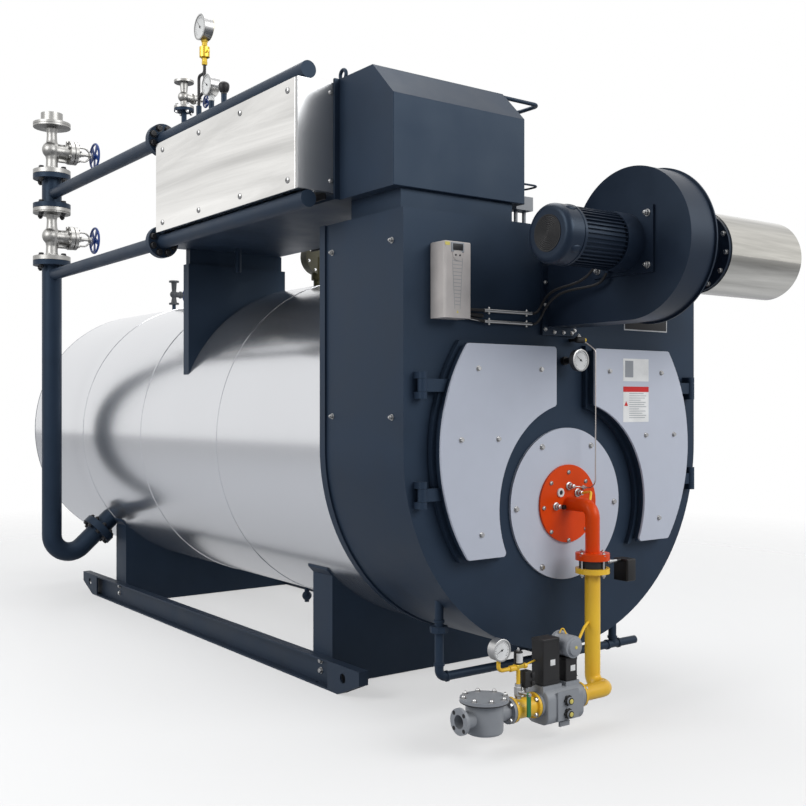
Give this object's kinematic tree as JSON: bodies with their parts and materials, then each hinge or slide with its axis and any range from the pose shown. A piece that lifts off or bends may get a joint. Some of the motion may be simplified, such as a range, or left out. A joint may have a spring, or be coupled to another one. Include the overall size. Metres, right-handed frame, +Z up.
{
  "type": "industrial boiler",
  "caption": "Horizontal fire-tube boiler on a channel skid, with a front gas burner and fan, an economizer on top and a side riser with globe valves.",
  "frame": {"origin": "on the floor, at the middle of the skid's four anchor holes", "axes": "+X right as seen from the burner end, +Y from the burner end to the rear, +Z up"},
  "size_m": [1.871, 4.928, 2.957],
  "materials": {
    "navy_paint": "satin",
    "shell_steel": "satin",
    "stainless_cladding": "polished",
    "orange_paint": "gloss",
    "yellow_paint": "gloss",
    "grey_casting": "cast satin",
    "black_plastic": "matte",
    "blue_paint": "gloss",
    "silver_paint": "aluminium paint",
    "light_plastic": "matte",
    "steel_rail": "zinc plated",
    "brass_fitting": "cast",
    "green_paint": "gloss",
    "disc_grey": "satin",
    "cable_rubber": "matte"
  },
  "bodies": {
    "boiler": {"smoke_box_front": "navy_paint", "smoke_box_casing": "navy_paint", "shell_casing": "shell_steel", "rear_end_plate": "navy_paint", "saddles": "navy_paint", "shell_nozzle": "navy_paint", "left_skid_beam": "navy_paint", "right_skid_beam": "navy_paint", "economizer_hood": "navy_paint", "economizer_body": "navy_paint", "left_coil_cover": "stainless_cladding", "right_coil_cover": "stainless_cladding", "economizer_support": "navy_paint", "upper_header": "navy_paint", "lower_header": "navy_paint", "upper_branch_pipe": "navy_paint", "lower_branch_pipe": "navy_paint", "riser_spool": "navy_paint", "riser_pipe": "navy_paint", "outlet_cap": "navy_paint", "upper_valve": "silver_paint", "lower_valve": "silver_paint", "door_hinges": "navy_paint", "burner_plate": "disc_grey", "burner_head": "orange_paint", "gas_damper": "black_plastic", "damper_actuator": "black_plastic", "gas_riser": "yellow_paint", "gas_block": "grey_casting", "gas_solenoids": "black_plastic", "gas_regulator": "grey_casting", "gas_ball_valve": "yellow_paint", "gas_filter": "grey_casting", "gauge_line": "yellow_paint", "front_drain_pipe": "navy_paint", "fan_volute": "navy_paint", "fan_motor": "navy_paint", "intake_tube": "stainless_cladding", "inverter_box": "light_plastic", "cable_rails": "steel_rail", "thermometer": "steel_rail", "gauge_stand": "brass_fitting", "second_gauge": "black_plastic", "vent_valve": "silver_paint", "shell_top_valve": "silver_paint", "shell_port": "brass_fitting", "shell_drain_valve": "navy_paint", "junction_box": "grey_casting", "upper_motor_cable": "cable_rubber", "lower_motor_cable": "cable_rubber"},
    "left_door": {"left_door": "navy_paint", "left_door_panel": "disc_grey"},
    "right_door": {"right_door": "navy_paint", "right_door_panel": "disc_grey"},
    "upper_handwheel": {"upper_handwheel": "blue_paint"},
    "lower_handwheel": {"lower_handwheel": "blue_paint"},
    "vent_handwheel": {"vent_handwheel": "blue_paint"},
    "shell_top_handwheel": {"shell_top_handwheel": "blue_paint"},
    "cock_lever": {"cock_lever": "green_paint"}
  },
  "joints": [
    {"name": "left_door_hinge", "type": "hinge", "parent": "boiler", "child": "left_door", "pos_m": [-0.738, -2.197, 1.089], "axis": [0, 0, -1], "range_deg": [0, 110]},
    {"name": "right_door_hinge", "type": "hinge", "parent": "boiler", "child": "right_door", "pos_m": [0.738, -2.197, 1.089], "axis": [0, 0, 1], "range_deg": [0, 110]},
    {"name": "upper_wheel_turn", "type": "hinge", "parent": "boiler", "child": "upper_handwheel", "pos_m": [-0.7, 1.182, 2.737], "axis": [1, 0, 0], "range_deg": [0, 2520]},
    {"name": "lower_wheel_turn", "type": "hinge", "parent": "boiler", "child": "lower_handwheel", "pos_m": [-0.7, 1.182, 2.22], "axis": [1, 0, 0], "range_deg": [0, 2520]},
    {"name": "vent_wheel_turn", "type": "hinge", "parent": "boiler", "child": "vent_handwheel", "pos_m": [-0.842, -0.683, 2.622], "axis": [1, 0, 0], "range_deg": [0, 1440]},
    {"name": "shell_top_wheel_turn", "type": "hinge", "parent": "boiler", "child": "shell_top_handwheel", "pos_m": [0.088, 1.561, 1.962], "axis": [1, 0, 0], "range_deg": [0, 1440]},
    {"name": "cock_lever_turn", "type": "hinge", "parent": "boiler", "child": "cock_lever", "pos_m": [-0.462, -2.451, 0.197], "axis": [0, -1, 0], "range_deg": [0, 90]}
  ]
}
